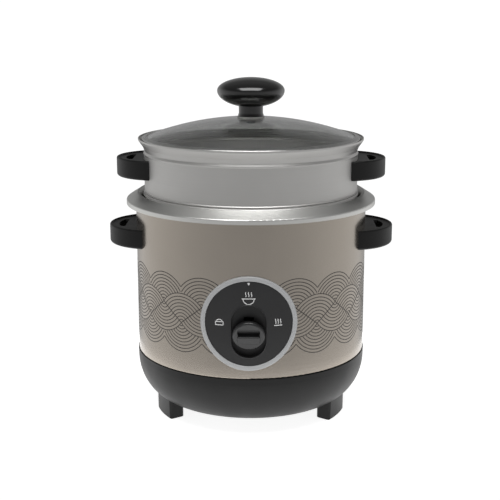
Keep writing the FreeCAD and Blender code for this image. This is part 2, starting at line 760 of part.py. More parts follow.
# ---------------------------------------------------------------- handles
def side_handle(mount, plan_radius, reach, bottom):
    """Half-round handle on the +X side: walls, a sunken top plate with a slot, open underneath."""
    middle = mount + reach - plan_radius
    top = bottom + handle_height
    cavity_radius = plan_radius - handle_wall
    cavity_top = top - handle_top_sink - handle_plate
    sunk_radius = plan_radius - handle_rim
    slot_radius = plan_radius - handle_slot_border
    body = turned([(0, bottom), (plan_radius, bottom, 2.8), (plan_radius, top, 1.6), (0, top)])
    sink = turned([(0, top - handle_top_sink), (sunk_radius, top - handle_top_sink, 0.6),
                   (sunk_radius + 0.4, top + 1), (0, top + 1)])
    cavity = turned([(0, bottom - 1), (cavity_radius, bottom - 1), (cavity_radius, cavity_top, 1.5),
                     (0, cavity_top)])
    slot = turned([(0, cavity_top - 1), (slot_radius, cavity_top - 1), (slot_radius, top + 1), (0, top + 1)])
    for piece in (body, sink, cavity, slot):
        piece.translate(vec(middle, 0, 0))
    slot = slot.common(block((mount + handle_slot_inset, -handle_slot_half, 0),
                             (mount + reach, handle_slot_half, top + 2)))
    cavity = cavity.cut(Part.makeCylinder(mount + handle_wall, 400))
    shell = body.cut([sink, cavity, slot])
    z = bottom + handle_height / 2
    posts = handle_screw_holes(handle_post_radius, mount - 5, mount + 13, z, 0)
    bores = handle_screw_holes(handle_screw_radius, mount - 6, mount + 11, z, 0)
    return shell.fuse(posts).cut(bores + [Part.makeCylinder(mount, 400)]).removeSplitter()


def handle_screws(inside, mount, z):
    """Screws of both handles, their heads bearing on the curved inside of the wall."""
    head_radius = 3.0
    seat = math.sqrt(inside ** 2 - head_radius ** 2)
    screws = []
    for side in (0, 180):
        for turn in (-handle_screw_angle, handle_screw_angle):
            place = polar(seat, side + turn, z)
            screws.append(screw(head_radius, 1.9, handle_screw_radius, mount - seat + 9, place,
                                polar(1, side + turn)))
    return Part.makeCompound(screws)


def body_handle():
    return side_handle(shell_radius, body_handle_radius, body_handle_reach, body_handle_bottom)


def steamer_handle():
    return side_handle(steamer_outside, steamer_handle_radius, steamer_handle_reach, steamer_handle_bottom)


# ---------------------------------------------------------------- steamer and lid
def steamer_basket():
    wall = steamer_outside
    nested = pot_inside - 3.2
    bottom = [(0, steamer_floor), (nested, steamer_floor, 8.0), (nested, rim_crest - 5.8, 1.0)]
    step_out = [(wall + 2.2, rim_crest - 3.2, 1.4), (wall, rim_crest - 0.6, 1.2)]
    bead = [(wall + 0.9, rim_crest + 0.5, 0.6), (wall, rim_crest + 1.6, 0.6)]
    groove = [(wall, steamer_top - 16.0, 0.6), (wall + 0.6, steamer_top - 14.6, 0.8),
              (wall - 0.6, steamer_top - 12.2, 0.8)]
    flare = [(wall + 1.0, steamer_top - 8.0, 2.0), (steamer_rim, steamer_top - 1.6, 1.2),
             (steamer_rim, steamer_top)]
    path = bottom + step_out + bead + groove + flare
    body = sheet(path, steamer_wall)
    holes = [Part.makeCylinder(hole_radius, 5, vec(0, 0, steamer_floor - 2))]
    for ring in range(1, int((nested - 12) / hole_pitch) + 1):
        for step in range(6 * ring):
            place = polar(hole_pitch * ring, 60 * step / ring)
            holes.append(round_bore(hole_radius, steamer_floor - 2, steamer_floor + 3, place))
    for side in (0, 180):
        holes += handle_screw_holes(handle_screw_radius + screw_slack, steamer_inside - 3,
                                    steamer_outside + 3, steamer_screw_height, side)
    return body.cut(holes)


def glass_height(radius, sphere):
    """Height of the lid's dome surface at a radius."""
    return glass_centre + math.sqrt(sphere ** 2 - radius ** 2)


def dome(sphere):
    return Part.makeSphere(sphere, vec(0, 0, glass_centre))


def glass_disc():
    shell = dome(lid_dome_radius).cut(dome(lid_dome_radius - lid_glass_thickness))
    return shell.common(Part.makeCylinder(glass_radius, 60, vec(0, 0, steamer_top - 20)))


def on_dome(shape, y):
    """Move a piece made about Z onto the dome's surface, square to it."""
    shape.rotate(vec(0, 0, 0), vec(1, 0, 0), -math.degrees(math.asin(y / lid_dome_radius)))
    shape.translate(vec(0, y, glass_height(y, lid_dome_radius)))
    return shape


def lid_glass():
    vent_hole = on_dome(Part.makeCylinder(vent_radius - 1.2, 12, vec(0, 0, -6)), vent_y)
    return glass_disc().cut([Part.makeCylinder(4.0, 60, vec(0, 0, steamer_top - 20)), vent_hole])


def lid_rim():
    under = glass_height(glass_radius, lid_dome_radius) - lid_glass_thickness
    lip = glass_height(lid_ring_inside, lid_dome_radius)
    skirt = steamer_outside - 6.8
    ring = turned([(skirt, under - 6.5), (skirt + 1.0, under - 6.5), (skirt + 1.0, under - 1.1, 1.0),
                   (glass_radius + 0.4, under - 1.1, 0.6), (lid_ring_outside, under + 1.4, 0.8),
                   (lid_ring_outside, lip - 0.6, 1.4), (lid_ring_inside, lip + 1.1, 0.5),
                   (lid_ring_inside, lip - 3.0), (skirt, lip - 3.0)])
    return ring.cut(glass_disc())


def steam_vent():
    bore = 1.6
    neck = vent_radius - 1.2
    under = -lid_glass_thickness - 0.6
    below = [(bore, under - 1.0), (vent_radius + 0.4, under - 1.0, 0.4), (vent_radius + 0.4, under),
             (neck, under), (neck, 0.1)]
    above = [(vent_radius + 1.2, 0.1), (vent_radius + 1.2, 1.3, 0.8), (bore, 1.3)]
    return on_dome(turned(below + above), vent_y)


def lid_knob():
    low = glass_apex + knob_collar
    neck_top = low + knob_neck_height
    wide = neck_top + knob_under
    under = Part.makeSphere(1.0)
    squash = FreeCAD.Matrix()
    squash.scale(knob_radius, knob_radius, knob_under + 1.2)
    under = under.transformGeometry(squash)
    under.translate(vec(0, 0, wide))
    under = under.common(Part.makeCylinder(knob_radius + 1, 60, vec(0, 0, wide - 60)))
    crown = Part.makeSphere(1.0)
    squash = FreeCAD.Matrix()
    squash.scale(knob_radius, knob_radius, knob_crown)
    crown = crown.transformGeometry(squash)
    crown.translate(vec(0, 0, wide))
    crown = crown.common(Part.makeCylinder(knob_radius + 1, 60, vec(0, 0, wide)))
    neck = turned([(0, low), (knob_neck_radius + 1.0, low, 0.5), (knob_neck_radius, low + 3.0, 2.0),
                   (knob_neck_radius, wide - 2), (0, wide - 2)])
    bore = Part.makeCylinder(knob_screw_radius, 14, vec(0, 0, low - 1))
    return under.fuse([crown, neck]).cut(bore)


def knob_washer():
    disc = Part.makeCylinder(knob_neck_radius + 1.6, 5, vec(0, 0, glass_apex + knob_collar - 5))
    bore = Part.makeCylinder(knob_screw_radius + 0.4, 60, vec(0, 0, glass_apex - 30))
    return disc.cut([dome(lid_dome_radius), bore])


def inner_washer():
    low = glass_apex - lid_glass_thickness - 1.6
    disc = Part.makeCylinder(9.0, 5, vec(0, 0, low))
    return disc.common(dome(lid_dome_radius - lid_glass_thickness)).cut(
        Part.makeCylinder(knob_screw_radius + 0.4, 60, vec(0, 0, low - 5)))


def knob_screw():
    low = glass_apex - lid_glass_thickness - 1.6
    return screw(4.6, 2.4, knob_screw_radius, glass_apex + knob_collar + 12 - low, vec(0, 0, low), UP)


# ---------------------------------------------------------------- write one file per sub-part
def pieces():
    parts = {
        "base": base(),
        "foot_screws": foot_screws(),
        "base_screws": base_screws(),
        "base_nuts": base_nuts(),
        "outer_shell": outer_shell(),
        "inner_liner": inner_liner(),
        "heating_plate": heating_plate(),
        "heating_element": heating_element(),
        "element_terminals": element_terminals(),
        "plate_spacers": plate_spacers(),
        "plate_screws": plate_screws(),
        "sensor_cap": sensor_cap(),
        "sensor_ferrite": ferrite(),
        "sensor_spring": sensor_spring(),
        "magnet": magnet(),
        "magnet_holder": magnet_holder(),
        "magnet_spring": magnet_spring(),
        "lift_bar": lift_bar(),
        "guide_bracket": guide_bracket(),
        "panel_ring": panel_ring(),
        "panel_face": panel_face(),
        "switch_lever": switch_lever(),
        "lever_pin": lever_pin(),
        "switch_bracket": switch_bracket(),
        "bracket_rivets": bracket_rivets(),
        "switch_contacts": switch_contacts(),
        "inlet_housing": inlet_housing(),
        "inlet_pins": inlet_pins(),
        "thermal_fuse": thermal_fuse(),
        "fuse_clip": fuse_clip(),
        "body_handle_right": body_handle(),
        "body_handle_left": mirrored(body_handle()),
        "body_handle_screws": handle_screws(shell_inside, shell_radius, body_screw_height),
        "inner_pot": inner_pot(),
        "steamer_basket": steamer_basket(),
        "steamer_handle_right": steamer_handle(),
        "steamer_handle_left": mirrored(steamer_handle()),
        "steamer_handle_screws": handle_screws(steamer_inside, steamer_outside, steamer_screw_height),
        "lid_glass": lid_glass(),
        "lid_rim": lid_rim(),
        "steam_vent": steam_vent(),
        "lid_knob": lid_knob(),
        "knob_washer": knob_washer(),
        "inner_washer": inner_washer(),
        "knob_screw": knob_screw(),
    }
    left = foot()
    parts["foot_front_left"] = left
    parts["foot_front_right"] = mirrored(left)
    parts["foot_rear_left"] = left.mirror(vec(0, 0, 0), vec(0, 1, 0))
    parts["foot_rear_right"] = mirrored(parts["foot_rear_left"])
    return parts


os.makedirs("parts", exist_ok=True)
for name, shape in pieces().items():
    if not shape.isValid():
        print("not valid:", name)
    print(f"{name:24s} solids {len(shape.Solids)}  volume {shape.Volume:12.1f}")
    shape.exportStep(f"parts/{name}.step")
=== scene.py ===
import math

import bmesh
import bpy
from bpy.props import FloatProperty, FloatVectorProperty, IntProperty, PointerProperty
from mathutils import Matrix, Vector


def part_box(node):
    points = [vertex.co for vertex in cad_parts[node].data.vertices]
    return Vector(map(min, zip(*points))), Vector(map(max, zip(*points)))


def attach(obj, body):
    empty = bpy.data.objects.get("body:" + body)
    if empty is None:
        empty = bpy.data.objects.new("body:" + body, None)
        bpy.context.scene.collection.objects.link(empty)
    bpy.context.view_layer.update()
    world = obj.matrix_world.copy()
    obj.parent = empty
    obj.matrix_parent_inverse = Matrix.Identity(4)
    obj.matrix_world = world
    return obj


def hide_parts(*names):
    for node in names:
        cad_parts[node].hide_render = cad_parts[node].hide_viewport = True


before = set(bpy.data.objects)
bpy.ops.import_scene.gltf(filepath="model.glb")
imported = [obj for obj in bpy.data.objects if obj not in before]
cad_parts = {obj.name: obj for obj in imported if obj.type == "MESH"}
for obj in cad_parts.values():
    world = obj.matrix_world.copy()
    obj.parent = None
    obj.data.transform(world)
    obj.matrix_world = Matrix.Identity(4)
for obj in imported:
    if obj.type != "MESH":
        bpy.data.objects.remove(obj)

bl_info = {
    "name": "Rice cooker with steamer",
    "version": (1, 0, 0),
    "blender": (4, 5, 0),
    "location": "3D View > Sidebar > Cooker",
    "description": "Builds the visible pieces and finishes of a rice cooker around its fixed frame",
    "category": "Object",
}

MM = 0.001  # a millimetre, in metres


# ---------------------------------------------------------------- sizes read from the frame
def reach(node):
    """Lowest and highest corner of a frame node, in millimetres."""
    low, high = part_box(node)
    return low / MM, high / MM


RING_LOW, RING_HIGH = reach("panel_ring")
FACE_LOW, FACE_HIGH = reach("panel_face")
INLET_HIGH = reach("inlet_housing")[1]
SHELL_RADIUS = reach("outer_shell")[1].x
PANEL_Z = (RING_LOW.z + RING_HIGH.z) / 2
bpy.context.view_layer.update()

# ---------------------------------------------------------------- fixed sizes, in millimetres and degrees
STROKE_STEP = 1.2     # between points of a printed stroke, so that it follows a curved surface
TOUCH = 0.01          # closer than this counts as touching
WAVE_STEP = 4.0       # degrees between points of a wave
SIGN_STEP = 10        # degrees between points of a sign's arc
EDGE_STEP = 15        # degrees between points of the panel ring's rounded edges
LIP_STEP = 36         # degrees between points round the recess lip's section
UNDER_RING = 1.5      # how far the wave lines run in under the panel ring
SIGN_SPREAD = 27.0    # from the panel's middle out to the two side signs
SIGN_RISE = 0.5       # and up to them
BOWL_RISE = 23.6      # from the panel's middle up to the bowl sign
POINTER_RISE = 37.4   # and up to the pointer
BOWL_SIZE = 6.2       # half the width of each sign
POT_SIZE = 3.6
WARM_SIZE = 3.8
POINTER_SIZE = 0.9


def linear(code):
    """Turns an sRGB hex colour into linear RGB."""
    parts = [int(code[i:i + 2], 16) / 255 for i in (1, 3, 5)]
    return tuple(c / 12.92 if c <= 0.04045 else ((c + 0.055) / 1.055) ** 2.4 for c in parts)


# ---------------------------------------------------------------- what a user would change
def length(name, description, default, low=0.0):
    """A length that is given in millimetres and kept in metres."""
    return FloatProperty(name=name, description=description, default=default * MM, min=low,
                         unit="LENGTH", subtype="DISTANCE", precision=5)


def colour(name, description, code):
    """A colour that is given as an sRGB hex value and kept as linear RGB."""
    return FloatVectorProperty(name=name, description=description, default=linear(code), size=3,
                               min=0.0, max=1.0, subtype="COLOR")


class CookerSizes(bpy.types.PropertyGroup):
    """Sizes of the pieces that are drawn here rather than read from the frame"""
    print_pitches: IntProperty(
        name="Wave pitches", description="Wave centres of one row round the whole shell", default=16, min=8)
    print_rings: IntProperty(
        name="Wave lines", description="Arcs in one wave", default=9, min=3)
    print_middle: length("Band middle", "Height of the line between the two rows of centres", 119.3)
    print_rise: length("Band rise", "Half the height between the two rows of centres", 8.5)
    line_width: length("Line width", "Width of a printed line", 0.85)
    ink_height: length("Ink height", "How far the ink stands on the metal", 0.06)
    mark_width: length("Mark width", "Width of a printed line on the panel", 0.75)
    ring_edge: length("Ring edge", "Rounding of the panel ring's edges", 1.1)
    recess_half: length("Recess half width", "Half the width of the key's recess", 16.35)
    recess_low: length("Recess bottom", "Lowest point of the recess above the floor", 83.3)
    recess_high: length("Recess top", "Highest point of the recess above the floor", 133.7)
    lip_radius: length("Recess lip", "Radius of the rounded lip round the recess", 0.45)


class CookerColours(bpy.types.PropertyGroup):
    """Colours of the finishes"""
    shell: colour("Shell", "Lacquered champagne steel", "#aea69c")
    ink: colour("Ink", "Printed wave band", "#3a3531")
    pot: colour("Pot rim", "Spun aluminium", "#d9d9d6")
    steamer: colour("Steamer", "Satin aluminium", "#c6c5c3")
    moulded: colour("Black plastic", "Base, feet and handles", "#101010")
    panel: colour("Panel face", "Glossy black plastic", "#1f1f20")
    ring: colour("Panel ring", "Light grey plastic", "#b0b1b2")
    knob: colour("Knob", "Black phenolic", "#0c0c0c")
    floor: colour("Floor", "Studio floor", "#f4f4f4")


class StageSettings(bpy.types.PropertyGroup):
    """Camera and light"""
    camera_distance: length("Camera distance", "From the cooker's axis", 1041.08)
    camera_height: length("Camera height", "Above the floor", 399.66)
    camera_turn: FloatProperty(
        name="Camera turn", description="Round the cooker from its front", default=math.radians(1.0),
        subtype="ANGLE", unit="ROTATION")
    camera_pitch: FloatProperty(
        name="Camera pitch", description="Downward tilt", default=math.radians(13.06),
        subtype="ANGLE", unit="ROTATION")
    lens: FloatProperty(name="Lens", description="Focal length in mm", default=76.92, min=10.0)
    camera_shift: FloatProperty(
        name="Camera shift", description="Sideways shift of the view, as a share of its width",
        default=-0.0018, precision=5)
    floor_radius: length("Floor radius", "Radius of the round floor", 270.0)
    floor_glow: FloatProperty(
        name="Floor glow", description="How strongly the white floor lights itself", default=0.88, min=0.0)
    softbox_power: FloatProperty(
        name="Softbox power", description="Power of the overhead light", default=15.0, min=0.0, unit="POWER")


# ---------------------------------------------------------------- nodes and materials
WHITE = (1.0, 1.0, 1.0, 1.0)
NOISE_LOW = 0.3            # most of a noise texture's values lie between these two
NOISE_HIGH = 0.7
STREAKS_PER_TURN = 15      # streaks of turned metal in one turn round the axis
POLISH_CLOUD = 38.0        # mm across the patches that polishing leaves
POLISH_TINT = (0.95, 1.04)         # their darkest and lightest share of the base colour
FLOW_CLOUD = 24.0          # mm across the clouds where moulded plastic flowed
FLOW_ROUGHNESS = (-0.03, 0.04)     # what they take from and add to the roughness
GRAIN_TINT = (0.93, 1.07)          # darkest and lightest share of the base colour in moulded grain
SMEAR = 55.0               # mm across the faint smears on wiped glass
FLOOR_MOTTLE = 300.0       # mm across the floor's mottling
MIX_FACTOR, MIX_A, MIX_B = 0, 6, 7    # the colour mix's input sockets
MIX_RESULT = 2                        # and its output socket


def add_node(tree, kind, inputs=None, **settings):
    """Adds a node, sets its own settings, and sets or links its inputs."""
    made = tree.nodes.new(kind)
    for name, value in settings.items():
        setattr(made, name, value)
    for name, value in (inputs or {}).items():
        if isinstance(value, bpy.types.NodeSocket):
            tree.links.new(value, made.inputs[name])
        else:
            made.inputs[name].default_value = value
    return made


def rgba(colour_value):
    """The colour with full opacity."""
    return (*colour_value, 1.0)


def finish(name, base, **sockets):
    """A material with one Principled shader whose constant sockets are set directly."""
    made = bpy.data.materials.new(name)
    made.use_nodes = True
    tree = made.node_tree
    shader = tree.nodes["Principled BSDF"]
    shader.inputs["Base Color"].default_value = rgba(base)
    for socket, value in sockets.items():
        shader.inputs[socket.replace("_", " ")].default_value = value
    made.diffuse_color = rgba(base)
    return made, tree, shader


def cloudy(tree, cell, detail, roughness=0.5):
    """A cloudy pattern whose cells have a real size, in millimetres."""
    coords = add_node(tree, "ShaderNodeTexCoord")
    placed = add_node(tree, "ShaderNodeMapping", {"Vector": coords.outputs["Object"],
                                                  "Scale": (1 / cell / MM,) * 3})
    pattern = add_node(tree, "ShaderNodeTexNoise", {"Vector": placed.outputs["Vector"], "Scale": 1.0,
                                                    "Detail": detail, "Roughness": roughness})
    return pattern.outputs["Fac"]


def lathe_lines(tree, spacing):
    """Streaks that run round the upright axis, a spacing in millimetres apart.

    The pattern is laid along the angle round the axis, the distance from it and the height.
    """
    coords = add_node(tree, "ShaderNodeTexCoord")
    split = add_node(tree, "ShaderNodeSeparateXYZ", {"Vector": coords.outputs["Object"]})
    angle = add_node(tree, "ShaderNodeMath", {0: split.outputs["X"], 1: split.outputs["Y"]},
                     operation="ARCTAN2")
    flat = add_node(tree, "ShaderNodeCombineXYZ", {"X": split.outputs["X"], "Y": split.outputs["Y"]})
    radius = add_node(tree, "ShaderNodeVectorMath", {0: flat.outputs["Vector"]}, operation="LENGTH")
    joined = add_node(tree, "ShaderNodeCombineXYZ", {"X": angle.outputs["Value"],
                                                     "Y": radius.outputs["Value"], "Z": split.outputs["Z"]})
    stretch = (STREAKS_PER_TURN / (2 * math.pi), 1 / spacing / MM, 1 / spacing / MM)
    placed = add_node(tree, "ShaderNodeMapping", {"Vector": joined.outputs["Vector"], "Scale": stretch})
    pattern = add_node(tree, "ShaderNodeTexNoise", {"Vector": placed.outputs["Vector"], "Scale": 1.0,
                                                    "Detail": 3.0, "Roughness": 0.6})
    return pattern.outputs["Fac"]


def vary(tree, shader, rough=None, tint=None, relief=None):
    """Lets patterns vary a finish.

    rough is a pattern and the roughness at its low and high end, tint a pattern and its two colours,
    and relief a pattern and its depth in millimetres.
    """
    if rough:
        pattern, low, high = rough
        spread = add_node(tree, "ShaderNodeMapRange", {"Value": pattern, "From Min": NOISE_LOW,
                                                       "From Max": NOISE_HIGH, "To Min": low, "To Max": high})
        tree.links.new(spread.outputs["Result"], shader.inputs["Roughness"])
    if tint:
        pattern, dark, light = tint
        mixed = add_node(tree, "ShaderNodeMix", {MIX_FACTOR: pattern, MIX_A: rgba(dark), MIX_B: rgba(light)},
                         data_type="RGBA")
        tree.links.new(mixed.outputs[MIX_RESULT], shader.inputs["Base Color"])
    if relief:
        pattern, depth = relief
        bump = add_node(tree, "ShaderNodeBump", {"Height": pattern, "Distance": depth * MM, "Strength": 1.0})
        tree.links.new(bump.outputs["Normal"], shader.inputs["Normal"])


def shade(colour_value, factor):
    """The colour made darker or lighter by a factor."""
    return tuple(min(1.0, c * factor) for c in colour_value)


def shades(colour_value, factors):
    """The colour made darker or lighter by each factor in turn."""
    return tuple(shade(colour_value, factor) for factor in factors)


def turned_metal(name, base, roughness, spacing, depth, change=0.05):
    """Metal finished on a lathe: fine lines run round the axis, so highlights smear up and down.

    Real lines are about 0.1 mm apart, too fine to show, so they are drawn coarser.
    """
    made, tree, shader = finish(name, base, Metallic=1.0)
    lines = lathe_lines(tree, spacing)
    vary(tree, shader, rough=(lines, roughness - change, roughness + change),
         tint=(cloudy(tree, POLISH_CLOUD, 2.0), *shades(base, POLISH_TINT)), relief=(lines, depth))
    return made


def moulded_plastic(name, base, roughness, grain, depth, **sockets):
    """Injection-moulded plastic: an even grain from the etched mould, with faint flow clouds.

    Real grain is about 0.2 mm across, too fine to show, so it is drawn coarser.
    """
    made, tree, shader = finish(name, base, Metallic=0.0, IOR=1.53, **sockets)
    etched = cloudy(tree, grain, 2.0, 0.55)
    low, high = FLOW_ROUGHNESS
    vary(tree, shader, rough=(cloudy(tree, FLOW_CLOUD, 1.0), roughness + low, roughness + high),
         tint=(etched, *shades(base, GRAIN_TINT)), relief=(etched, depth))
    return made


def printed(name, base, dark, light, roughness, speckle):
    """Printed ink: matt, with faint speckles where it lies thinner."""
    made, tree, shader = finish(name, base, Metallic=0.0, Roughness=roughness)
    vary(tree, shader, tint=(cloudy(tree, speckle, 2.0), dark, light))
    return made


def clear_glass(name):
    """Tempered glass: clear, faintly green, with smears that blur a highlight a little."""
    made, tree, shader = finish(name, linear("#fcfdfc"), Transmission_Weight=1.0, IOR=1.45, Roughness=0.0)
    vary(tree, shader, rough=(cloudy(tree, SMEAR, 2.0), 0.0, 0.006))
    return made


MATERIALS = {}


def make_materials(colours):
    """Every finish of the cooker, by the slot it belongs to."""
    MATERIALS.update({
        # Stainless sheet under a champagne lacquer: warm satin mirror, edges of neighbours show softly.
        "satin_steel": turned_metal("champagne_lacquered_steel", colours.shell, 0.2, 0.9, 0.0002,
                                    change=0.012),
        # Spun and clear-anodised aluminium: pale, silky, with rings from the lathe.
        "rim_steel": turned_metal("spun_satin_aluminium", colours.pot, 0.36, 0.8, 0.0005, change=0.02),
        # Aluminium blasted and anodised: flat grey with only a broad sheen.
        "steamer_steel": turned_metal("anodised_satin_aluminium", colours.steamer, 0.5, 1.0, 0.001,
                                      change=0.03),
        # Stainless strip rolled round the glass: a bright narrow line of light.
        "lid_steel": turned_metal("rolled_stainless_steel", linear("#c8c8c6"), 0.28, 0.6, 0.0005,
                                  change=0.02),
        # Moulded polypropylene with a fine etched grain: deep grey-black, soft highlights.
        "black_plastic": moulded_plastic("etched_black_polypropylene", colours.moulded, 0.42, 0.7, 0.012,
                                         Specular_IOR_Level=0.26),
        # Polished ABS: nearly smooth, sharper highlights.
        "panel_black": moulded_plastic("polished_black_abs", colours.panel, 0.34, 0.9, 0.004),
        # ABS from a satin mould: light grey, even.
        "panel_grey": moulded_plastic("satin_grey_abs", colours.ring, 0.38, 0.8, 0.006),
        # Phenolic, pressed and polished: deep black with a glassy surface.
        "knob_black": moulded_plastic("polished_phenolic", colours.knob, 0.2, 1.5, 0.003,
                                      Coat_Weight=0.4, Coat_Roughness=0.05),
        # Zinc-plated mild steel: cool grey, slightly cloudy shine.
        "zinc_steel": turned_metal("zinc_plated_steel", linear("#b9bcc0"), 0.34, 1.2, 0.006),
        # Cast aluminium with a machined face: fine close rings.
        "cast_aluminium": turned_metal("machined_cast_aluminium", linear("#b6b6b3"), 0.38, 0.5, 0.01),
        # Deep-drawn aluminium sheet: wide soft rings.
        "sheet_aluminium": turned_metal("drawn_aluminium_sheet", linear("#c3c4c4"), 0.36, 1.6, 0.006),
        # Drawn spring wire: darker, fairly bright.
        "spring_steel": turned_metal("drawn_spring_steel", linear("#8d8f92"), 0.3, 0.6, 0.004),
        # Stamped brass: warm yellow, smooth.
        "brass": turned_metal("stamped_brass", linear("#c9a75a"), 0.28, 0.8, 0.004),
        # Sintered ferrite: dull dark grey, grainy.
        "ferrite": moulded_plastic("sintered_ferrite", linear("#2b2a2a"), 0.6, 0.5, 0.02),
        # Glazed ceramic: warm white, glossy.
        "white_sleeve": moulded_plastic("glazed_ceramic_sleeve", linear("#e4e0d6"), 0.25, 1.2, 0.004),
        # Moulded silicone: milky, dull.
        "silicone": moulded_plastic("moulded_silicone", linear("#d8d8d4"), 0.5, 0.8, 0.006),
        "clear_glass": clear_glass("tempered_glass"),
        # Dark screen ink on lacquer: matt lines that break the metal's shine.
        "ink": printed("screen_printed_ink", colours.ink, shade(colours.ink, 0.85), shade(colours.ink, 1.2),
                       0.5, 1.2),
        # White pad print on black plastic.
        "white_print": printed("white_pad_print", linear("#e9e9e9"), linear("#d2d2d2"), linear("#f4f4f4"),
                               0.45, 1.5),
    })


def dress(*names):
    """Gives frame nodes the finish of their slot; the frame's own material is named for it."""
    for name in names:
        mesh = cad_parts[name].data
        slot = mesh.materials[0].name
        mesh.materials.clear()
        mesh.materials.append(MATERIALS[slot])


# ---------------------------------------------------------------- meshes
def link(name, data):
    """Puts a mesh, lamp or camera into the scene."""
    made = bpy.data.objects.new(name, data)
    bpy.context.scene.collection.objects.link(made)
    return made


def dense(stroke):
    """The same stroke with points close enough together to follow a curved surface."""
    points = [stroke[0]]
    for start, end in zip(stroke[:-1], stroke[1:]):
        count = max(1, math.ceil(math.dist(start, end) / STROKE_STEP))
        points += [(start[0] + (end[0] - start[0]) * i / count, start[1] + (end[1] - start[1]) * i / count)
                   for i in range(1, count + 1)]
    return points


def lines_object(name, strokes):
    """An object with only edges, one chain for each stroke of flat (x, y) points in millimetres."""
    points = []
    edges = []
    for stroke in map(dense, strokes):
        first = len(points)
        points += [(x * MM, y * MM, 0.0) for x, y in stroke]
        edges += [(first + i, first + i + 1) for i in range(len(stroke) - 1)]
    mesh = bpy.data.meshes.new(name)
    mesh.from_pydata(points, edges, [])
    return link(name, mesh)


def settle(made):
    """Turns an object's evaluated modifiers into its plain mesh."""
    graph = bpy.context.evaluated_depsgraph_get()
    graph.update()
    mesh = bpy.data.meshes.new_from_object(made.evaluated_get(graph))
    made.modifiers.clear()
    made.data = mesh


def use_tree(made, tree, values):
    """Puts a Geometry Nodes tree on an object and sets its inputs by identifier."""
    modifier = made.modifiers.new(tree.name, "NODES")
    modifier.node_group = tree
    for item in tree.interface.items_tree:
        if item.in_out == "INPUT" and item.name in values:
            modifier[item.identifier] = values[item.name]


def new_tree(name, inputs):
    """An empty Geometry Nodes tree with geometry in and out and the named inputs."""
    tree = bpy.data.node_groups.new(name, "GeometryNodeTree")
    tree.interface.new_socket("Geometry", in_out="INPUT", socket_type="NodeSocketGeometry")
    for title, kind in inputs:
        tree.interface.new_socket(title, in_out="INPUT", socket_type="NodeSocket" + kind)
    tree.interface.new_socket("Geometry", in_out="OUTPUT", socket_type="NodeSocketGeometry")
    start = add_node(tree, "NodeGroupInput")
    return tree, start.outputs


def close_tree(tree, geometry, material):
    """Ends a tree: instances made real, material set."""
    real = add_node(tree, "GeometryNodeRealizeInstances", {0: geometry})
    dressed = add_node(tree, "GeometryNodeSetMaterial", {"Geometry": real.outputs[0], "Material": material})
    add_node(tree, "NodeGroupOutput", {"Geometry": dressed.outputs["Geometry"]})


